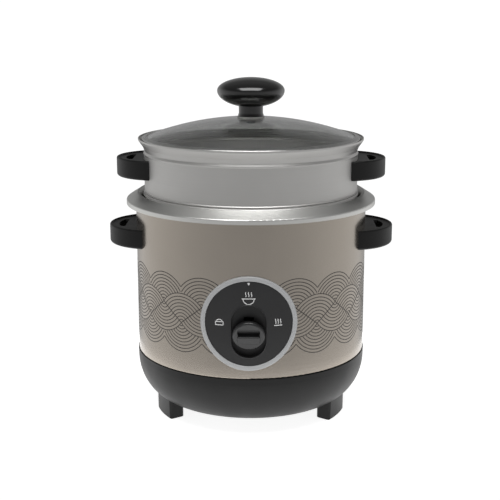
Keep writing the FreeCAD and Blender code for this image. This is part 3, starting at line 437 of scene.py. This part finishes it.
def printed_lines_tree():
    """Repeats flat strokes along X, gives them an ink section and wraps them round an upright cylinder."""
    tree, given = new_tree("printed_lines", [
        ("Count", "Int"), ("Pitch", "Float"), ("Radius", "Float"), ("Line Width", "Float"),
        ("Ink Height", "Float"), ("Clear Radius", "Float"), ("Clear Height", "Float"),
        ("Rear Half Width", "Float"), ("Rear Top", "Float"), ("Material", "Material")])
    spot = add_node(tree, "GeometryNodeInputPosition")
    split = add_node(tree, "ShaderNodeSeparateXYZ", {"Vector": spot.outputs[0]})
    # A name in a step is a point's flat place, an earlier step or one of the tree's inputs.
    known = {"along": split.outputs["X"], "up": split.outputs["Y"], "off": split.outputs["Z"]}
    steps = {
        # where the first copy stands
        "half count": ("MULTIPLY", "Count", 0.5),
        "copies before": ("FLOOR", "half count"),
        "run before": ("MULTIPLY", "copies before", "Pitch"),
        "first": ("MULTIPLY", "run before", -1.0),
        # the angle round the cylinder
        "turn": ("DIVIDE", "along", "Radius"),
        "sine": ("SINE", "turn"),
        "cosine": ("COSINE", "turn"),
        "across": ("MULTIPLY", "sine", "Radius"),
        # in front, under the panel ring
        "rise": ("SUBTRACT", "up", "Clear Height"),
        "across squared": ("MULTIPLY", "across", "across"),
        "rise squared": ("MULTIPLY", "rise", "rise"),
        "gap squared": ("ADD", "across squared", "rise squared"),
        "gap": ("SQRT", "gap squared"),
        "in front": ("GREATER_THAN", "cosine", 0.0),
        "inside ring": ("LESS_THAN", "gap", "Clear Radius"),
        "under ring": ("MULTIPLY", "inside ring", "in front"),
        # behind, under the inlet
        "aside": ("ABSOLUTE", "across"),
        "near": ("LESS_THAN", "aside", "Rear Half Width"),
        "low": ("LESS_THAN", "up", "Rear Top"),
        "behind": ("LESS_THAN", "cosine", 0.0),
        "near and low": ("MULTIPLY", "near", "low"),
        "under inlet": ("MULTIPLY", "near and low", "behind"),
        "covered": ("ADD", "under ring", "under inlet"),
        "hidden": ("GREATER_THAN", "covered", 0.5),
        # the place on the cylinder
        "out": ("ADD", "Radius", "off"),
        "bent x": ("MULTIPLY", "sine", "out"),
        "forward": ("MULTIPLY", "cosine", "out"),
        "bent y": ("MULTIPLY", "forward", -1.0),
    }
    for name, (operation, *values) in steps.items():
        inputs = {}
        for i, value in enumerate(values):
            if isinstance(value, str):
                value = known[value] if value in known else given[value]
            inputs[i] = value
        known[name] = add_node(tree, "ShaderNodeMath", inputs, operation=operation).outputs[0]
    start = add_node(tree, "ShaderNodeCombineXYZ", {"X": known["first"]})
    step = add_node(tree, "ShaderNodeCombineXYZ", {"X": given["Pitch"]})
    row = add_node(tree, "GeometryNodeMeshLine", {"Count": given["Count"], "Start Location": start.outputs[0],
                                                  "Offset": step.outputs[0]})
    copies = add_node(tree, "GeometryNodeInstanceOnPoints", {"Points": row.outputs[0],
                                                             "Instance": given["Geometry"]})
    flat = add_node(tree, "GeometryNodeRealizeInstances", {0: copies.outputs[0]})
    kept = add_node(tree, "GeometryNodeDeleteGeometry", {"Geometry": flat.outputs[0],
                                                         "Selection": known["hidden"]}, domain="POINT")
    curves = add_node(tree, "GeometryNodeMeshToCurve", {0: kept.outputs[0]})
    upright = add_node(tree, "GeometryNodeSetCurveNormal", {0: curves.outputs[0]}, mode="Z_UP")
    section = add_node(tree, "GeometryNodeCurvePrimitiveQuadrilateral", {
        "Width": given["Line Width"], "Height": given["Ink Height"]}, mode="RECTANGLE")
    ribbons = add_node(tree, "GeometryNodeCurveToMesh", {"Curve": upright.outputs[0],
                                                         "Profile Curve": section.outputs[0],
                                                         "Fill Caps": True})
    bent = add_node(tree, "ShaderNodeCombineXYZ", {"X": known["bent x"], "Y": known["bent y"],
                                                   "Z": known["up"]})
    wrapped = add_node(tree, "GeometryNodeSetPosition", {"Geometry": ribbons.outputs[0],
                                                         "Position": bent.outputs[0]})
    close_tree(tree, wrapped.outputs[0], given["Material"])
    return tree


def print_on(name, strokes, radius, width, ink_height, material, slot, **extra):
    """Printed strokes wrapped round the cooker's axis at a radius in millimetres, riding on the body."""
    tree = bpy.data.node_groups.get("printed_lines") or printed_lines_tree()
    made = lines_object(name, strokes)
    values = {"Count": 1, "Pitch": 0.0, "Radius": radius * MM, "Line Width": width, "Ink Height": ink_height,
              "Clear Radius": 0.0, "Clear Height": 0.0, "Rear Half Width": 0.0, "Rear Top": 0.0,
              "Material": material}
    values.update(extra)
    use_tree(made, tree, values)
    settle(made)
    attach(made, "cooker")


# ---------------------------------------------------------------- pieces that lie on the curved front
def on_front(across, up, height):
    """A point in metres over the shell's front, from millimetres across, up and out from the metal."""
    out = SHELL_RADIUS + height
    return Vector((across, -math.sqrt(out * out - across * across), up)) * MM


def ribbon(name, path, section):
    """A closed tube over the shell's front.

    Each path entry is a point and the unit direction away from the middle, both (across, up);
    each section entry is how far out in that direction, and how far from the metal.
    """
    build = bmesh.new()
    rings = [[build.verts.new(on_front(point[0] + away[0] * side, point[1] + away[1] * side, height))
              for side, height in section] for point, away in path]
    for ring, follower in zip(rings, rings[1:] + rings[:1]):
        for i in range(len(section)):
            j = (i + 1) % len(section)
            build.faces.new((ring[i], ring[j], follower[j], follower[i])).smooth = True
    bmesh.ops.recalc_face_normals(build, faces=build.faces)
    mesh = bpy.data.meshes.new(name)
    build.to_mesh(mesh)
    build.free()
    return link(name, mesh)


def ring_section(width, height, edge):
    """Section of the panel ring from its outer foot over two rounded edges to its inner foot."""
    turns = [math.radians(a) for a in range(0, 91, EDGE_STEP)]
    outer = [(-edge + edge * math.cos(a), height - edge + edge * math.sin(a)) for a in turns]
    inner = [(-width + edge - edge * math.sin(a), height - edge + edge * math.cos(a)) for a in turns]
    return [(0.0, 0.0)] + outer + inner + [(-width, 0.0)]


def circle_path(middle, radius, count=144):
    """Round a circle, anticlockwise from its right side."""
    path = []
    for i in range(count):
        turn = 2 * math.pi * i / count
        away = (math.cos(turn), math.sin(turn))
        path.append(((radius * away[0], middle + radius * away[1]), away))
    return path


def slot_path(half, low, high, count=24):
    """Round an upright slot with round ends, anticlockwise from its right side."""
    path = []
    for middle, start in ((high - half, 0.0), (low + half, math.pi)):
        for i in range(count + 1):
            turn = start + math.pi * i / count
            away = (math.cos(turn), math.sin(turn))
            path.append(((half * away[0], middle + half * away[1]), away))
    return path


# ---------------------------------------------------------------- strokes of the printed band
def arc(centre, radius, start, end, step):
    """Points on an arc between two angles in degrees."""
    count = max(2, math.ceil(abs(end - start) / step))
    return [(centre[0] + radius * math.cos(math.radians(start + (end - start) * i / count)),
             centre[1] + radius * math.sin(math.radians(start + (end - start) * i / count)))
            for i in range(count + 1)]


def runs(points, shown):
    """Splits a chain into the stretches whose points are shown."""
    chains = []
    current = []
    for point in points:
        if shown(point):
            current.append(point)
            continue
        if len(current) > 1:
            chains.append(current)
        current = []
    if len(current) > 1:
        chains.append(current)
    return chains


def wave_strokes(pitch, middle, rise, rings):
    """One repeat of two rows of overlapping waves on either side of a zigzag line.

    Above the zigzag the low row's waves lie in front, and below it the high row's do.
    """
    half = pitch / 2
    outer = math.hypot(half, 2 * rise)

    def zigzag(x):
        side = abs((x + half) % pitch - half)
        return middle + rise - 2 * rise * side / half

    def shown(point, centre, side, upward):
        """Whether a wave's point is on this side of the zigzag and not behind a neighbour."""
        if (point[1] - zigzag(point[0])) * upward < -TOUCH:
            return False
        if side != upward:
            return True
        if abs(point[0] - centre[0]) > half + TOUCH:
            return False
        neighbours = [(centre[0] + turn, middle - side * rise) for turn in (-half, half)]
        return all(math.dist(point, neighbour) >= outer - TOUCH for neighbour in neighbours)

    strokes = [[(-half, middle - rise), (0.0, middle + rise), (half, middle - rise)]]
    rows = {1: (0.0, middle + rise), -1: (half, middle - rise)}
    for side, centre in rows.items():
        for ring in range(1, rings + 1):
            for upward in (1, -1):
                full = arc(centre, outer * ring / rings, 90 * upward - 180, 90 * upward + 180, WAVE_STEP)
                strokes += runs(full, lambda point: shown(point, centre, side, upward))
    return strokes


def wisps(x, z, size, spacing, swing, start, rise):
    """Three wavy lines of steam or heat side by side; the numbers after size are shares of it."""
    return [[(x + size * (shift + swing * math.sin(t * math.pi / 3)), z + size * (start + rise * t))
             for t in range(7)] for shift in (-spacing, 0.0, spacing)]


def bowl_mark(x, z, size):
    """A bowl with three wisps of steam, the generic sign for a cooked meal."""
    rim = [(x - size, z), (x + size, z)]
    bowl = arc((x, z), size * 0.82, 180, 360, SIGN_STEP)
    foot = [(x - size * 0.35, z - size * 0.95), (x + size * 0.35, z - size * 0.95)]
    return [rim, bowl, foot] + wisps(x, z, size, 0.42, 0.05, 0.3, 0.12)


def pointer_mark(x, z, size):
    """A small solid triangle that points down, drawn as nested lines."""
    strokes = []
    for share in (0.3, 1.0):
        left = (x - size * share, z + size * share)
        right = (x + size * share, z + size * share)
        strokes.append([left, (x, z - size * share), right, left])
    return strokes


def pot_mark(x, z, size):
    """A lidded pot, for cooking."""
    body = [(x - size, z + size * 0.25), (x - size, z - size * 0.6), (x + size, z - size * 0.6),
            (x + size, z + size * 0.25), (x - size, z + size * 0.25)]
    lid = arc((x, z - size * 0.1), size * 0.95, 35, 145, SIGN_STEP)
    return [body, lid]


def warm_mark(x, z, size):
    """Three rising waves over a line, for keeping warm."""
    line = [(x - size, z - size * 0.6), (x + size, z - size * 0.6)]
    return wisps(x, z, size, 0.6, 0.08, -0.2, 0.2) + [line]


# ---------------------------------------------------------------- operators
class CookerOperator(bpy.types.Operator):
    """What every step of the build shares"""
    bl_options = {"REGISTER", "UNDO"}

    def sizes(self):
        return bpy.context.scene.cooker_sizes

    def colours(self):
        return bpy.context.scene.cooker_colours


class COOKER_OT_finishes(CookerOperator):
    """Makes every finish from the chosen colours"""
    bl_idname = "cooker.finishes"
    bl_label = "Finishes"

    def execute(self, context):
        make_materials(self.colours())
        return {"FINISHED"}


class COOKER_OT_shell(CookerOperator):
    """Finishes the shell and prints the wave band round it"""
    bl_idname = "cooker.shell"
    bl_label = "Shell and wave band"

    def execute(self, context):
        sizes = self.sizes()
        dress("outer_shell")
        pitch = 2 * math.pi * SHELL_RADIUS / sizes.print_pitches
        strokes = wave_strokes(pitch, sizes.print_middle / MM, sizes.print_rise / MM, sizes.print_rings)
        print_on("wave_band", strokes, SHELL_RADIUS, sizes.line_width, sizes.ink_height, MATERIALS["ink"],
                 "satin_steel",
                 **{"Count": sizes.print_pitches, "Pitch": pitch * MM,
                    "Clear Radius": (RING_HIGH.x - UNDER_RING) * MM, "Clear Height": PANEL_Z * MM,
                    "Rear Half Width": INLET_HIGH.x * MM, "Rear Top": INLET_HIGH.z * MM})
        return {"FINISHED"}


class COOKER_OT_body(CookerOperator):
    """Finishes the base, feet, handles and inlet"""
    bl_idname = "cooker.body"
    bl_label = "Base, feet and handles"

    def execute(self, context):
        dress("base", "foot_front_left", "foot_front_right", "foot_rear_left", "foot_rear_right",
              "foot_screws", "base_screws", "base_nuts", "body_handle_right", "body_handle_left",
              "body_handle_screws", "inlet_housing", "inlet_pins")
        return {"FINISHED"}


class COOKER_OT_panel(CookerOperator):
    """Makes the rounded panel ring, the recess lip and the printed signs, and finishes the face and key"""
    bl_idname = "cooker.panel"
    bl_label = "Switch panel"

    def execute(self, context):
        sizes = self.sizes()
        dress("panel_face", "switch_lever")
        ring_radius = RING_HIGH.x
        section = ring_section(ring_radius - FACE_HIGH.x, -RING_LOW.y - SHELL_RADIUS, sizes.ring_edge / MM)
        ring = ribbon("rounded_panel_ring", circle_path(PANEL_Z, ring_radius), section)
        ring.data.materials.append(MATERIALS["panel_grey"])
        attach(ring, "cooker")
        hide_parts("panel_ring")
        bead = sizes.lip_radius / MM
        face_radius = -FACE_LOW.y
        face_height = face_radius - SHELL_RADIUS
        round_section = [(bead * math.cos(math.radians(a)), face_height + bead * math.sin(math.radians(a)))
                         for a in range(0, 360, LIP_STEP)]
        lip = ribbon("recess_lip", slot_path(sizes.recess_half / MM, sizes.recess_low / MM,
                                             sizes.recess_high / MM), round_section)
        lip.data.materials.append(MATERIALS["panel_black"])
        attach(lip, "cooker")
        strokes = (bowl_mark(0.0, PANEL_Z + BOWL_RISE, BOWL_SIZE)
                   + pot_mark(-SIGN_SPREAD, PANEL_Z + SIGN_RISE, POT_SIZE)
                   + warm_mark(SIGN_SPREAD, PANEL_Z + SIGN_RISE, WARM_SIZE)
                   + pointer_mark(0.0, PANEL_Z + POINTER_RISE, POINTER_SIZE))
        print_on("panel_marks", strokes, face_radius, sizes.mark_width, sizes.ink_height,
                 MATERIALS["white_print"], "panel_grey")
        return {"FINISHED"}


class COOKER_OT_vessels(CookerOperator):
    """Finishes the pot, the steamer and the lid"""
    bl_idname = "cooker.vessels"
    bl_label = "Pot, steamer and lid"

    def execute(self, context):
        dress("inner_pot", "steamer_basket", "steamer_handle_right", "steamer_handle_left",
              "steamer_handle_screws", "lid_glass", "lid_rim", "steam_vent", "lid_knob", "knob_washer",
              "inner_washer", "knob_screw")
        return {"FINISHED"}


class COOKER_OT_works(CookerOperator):
    """Finishes the heating plate, thermostat, switch and other works inside"""
    bl_idname = "cooker.works"
    bl_label = "Works inside"

    def execute(self, context):
        dress("inner_liner", "heating_plate", "heating_element", "element_terminals", "plate_spacers",
              "plate_screws", "sensor_cap", "sensor_ferrite", "sensor_spring", "magnet", "magnet_holder",
              "magnet_spring", "lift_bar", "guide_bracket", "lever_pin", "switch_bracket", "bracket_rivets",
              "switch_contacts", "thermal_fuse", "fuse_clip")
        return {"FINISHED"}


# ---------------------------------------------------------------- floor, light and camera, in metres
SENSOR_WIDTH = 36.0                  # mm, a full-frame sensor
BACKDROP = 1.05                      # how bright the white behind everything is
SOFTBOX_PLACE = Vector((0.0, -0.5, 1.4))
SOFTBOX_TARGET = Vector((0.0, 0.0, 0.25))
SOFTBOX_SIZE = (1.2, 0.8)
# How bright the room is along one axis: the axis, from and to where, and the level at each end.
ROOM_LEVELS = (
    ("Y", -1.0, 0.5, 0.46, 0.80),    # brighter at the sides and back than in front
    ("Y", 0.72, 0.98, 1.0, 0.4),     # dim again straight behind
    ("Z", 0.1, 0.55, 1.0, 0.2),      # dim overhead
)


def white_floor(stage, colours):
    """A round matt white floor that glows a little, so the cooker's own shadow stays faint."""
    mesh = bpy.data.meshes.new("studio_floor")
    build = bmesh.new()
    bmesh.ops.create_circle(build, cap_ends=True, segments=96, radius=stage.floor_radius)
    build.to_mesh(mesh)
    build.free()
    paint, tree, shader = finish("matte_white_floor", colours.floor, Roughness=0.9, Emission_Color=WHITE,
                                 Emission_Strength=stage.floor_glow)
    vary(tree, shader, rough=(cloudy(tree, FLOOR_MOTTLE, 1.0), 0.85, 0.95))
    mesh.materials.append(paint)
    return link("studio_floor", mesh)


def studio_room():
    """A white backdrop, and a soft room that lights the cooker by the levels above."""
    world = bpy.data.worlds.new("studio")
    world.use_nodes = True
    tree = world.node_tree
    tree.nodes.clear()
    coords = add_node(tree, "ShaderNodeTexCoord")
    split = add_node(tree, "ShaderNodeSeparateXYZ", {"Vector": coords.outputs["Generated"]})
    levels = []
    for axis, start, end, low, high in ROOM_LEVELS:
        ramp = add_node(tree, "ShaderNodeMapRange", {"Value": split.outputs[axis], "From Min": start,
                                                     "From Max": end, "To Min": low, "To Max": high})
        levels.append(ramp.outputs["Result"])
    glow = levels[0]
    for level in levels[1:]:
        glow = add_node(tree, "ShaderNodeMath", {0: glow, 1: level}, operation="MULTIPLY").outputs[0]
    room = add_node(tree, "ShaderNodeBackground", {"Strength": glow, "Color": WHITE})
    backdrop = add_node(tree, "ShaderNodeBackground", {"Strength": BACKDROP, "Color": WHITE})
    path = add_node(tree, "ShaderNodeLightPath")
    mixed = add_node(tree, "ShaderNodeMixShader", {0: path.outputs["Is Camera Ray"],
                                                   1: room.outputs[0], 2: backdrop.outputs[0]})
    add_node(tree, "ShaderNodeOutputWorld", {"Surface": mixed.outputs[0]})
    return world


def overhead_softbox(stage):
    """One large soft light above and in front."""
    lamp = bpy.data.lights.new("overhead_softbox", "AREA")
    lamp.shape = "RECTANGLE"
    lamp.size, lamp.size_y = SOFTBOX_SIZE
    lamp.energy = stage.softbox_power
    made = link("overhead_softbox", lamp)
    made.location = SOFTBOX_PLACE
    made.rotation_euler = (SOFTBOX_TARGET - SOFTBOX_PLACE).to_track_quat("-Z", "Y").to_euler()


def studio_camera(stage):
    """The camera, a little to one side of the cooker's front and tilted down."""
    lens = bpy.data.cameras.new("camera")
    lens.sensor_width = SENSOR_WIDTH
    lens.lens = stage.lens
    lens.shift_x = stage.camera_shift
    camera = link("camera", lens)
    turn, pitch = stage.camera_turn, stage.camera_pitch
    camera.location = (math.sin(turn) * stage.camera_distance, -math.cos(turn) * stage.camera_distance,
                       stage.camera_height)
    look = Vector((-math.sin(turn) * math.cos(pitch), math.cos(turn) * math.cos(pitch), -math.sin(pitch)))
    camera.rotation_euler = look.to_track_quat("-Z", "Y").to_euler()
    return camera


class COOKER_OT_stage(CookerOperator):
    """Sets up the pale floor, the studio light and the camera"""
    bl_idname = "cooker.stage"
    bl_label = "Stage"

    def execute(self, context):
        stage = context.scene.cooker_stage
        context.scene.view_settings.view_transform = "Standard"
        floor = white_floor(stage, self.colours())
        context.scene.world = studio_room()
        overhead_softbox(stage)
        context.scene.camera = studio_camera(stage)
        return {"FINISHED"}


class COOKER_PT_panel(bpy.types.Panel):
    """Lists the steps that build the cooker"""
    bl_idname = "COOKER_PT_panel"
    bl_label = "Rice cooker"
    bl_space_type = "VIEW_3D"
    bl_region_type = "UI"
    bl_category = "Cooker"

    def draw(self, context):
        for group in (context.scene.cooker_sizes, context.scene.cooker_colours, context.scene.cooker_stage):
            box = self.layout.box()
            for name in group.bl_rna.properties.keys():
                if name not in ("rna_type", "name"):
                    box.prop(group, name)
        for step in STEPS:
            self.layout.operator(step.bl_idname)


STEPS = (COOKER_OT_finishes, COOKER_OT_shell, COOKER_OT_body, COOKER_OT_panel, COOKER_OT_vessels,
         COOKER_OT_works, COOKER_OT_stage)
CLASSES = (CookerSizes, CookerColours, StageSettings) + STEPS + (COOKER_PT_panel,)


def register():
    for made in CLASSES:
        bpy.utils.register_class(made)
    bpy.types.Scene.cooker_sizes = PointerProperty(type=CookerSizes)
    bpy.types.Scene.cooker_colours = PointerProperty(type=CookerColours)
    bpy.types.Scene.cooker_stage = PointerProperty(type=StageSettings)


def unregister():
    del bpy.types.Scene.cooker_stage
    del bpy.types.Scene.cooker_colours
    del bpy.types.Scene.cooker_sizes
    for made in reversed(CLASSES):
        bpy.utils.unregister_class(made)


def main():
    register()
    bpy.ops.cooker.finishes()
    bpy.ops.cooker.shell()
    bpy.ops.cooker.body()
    bpy.ops.cooker.panel()
    bpy.ops.cooker.vessels()
    bpy.ops.cooker.works()
    bpy.ops.cooker.stage()


if __name__ == "__main__":
    main()
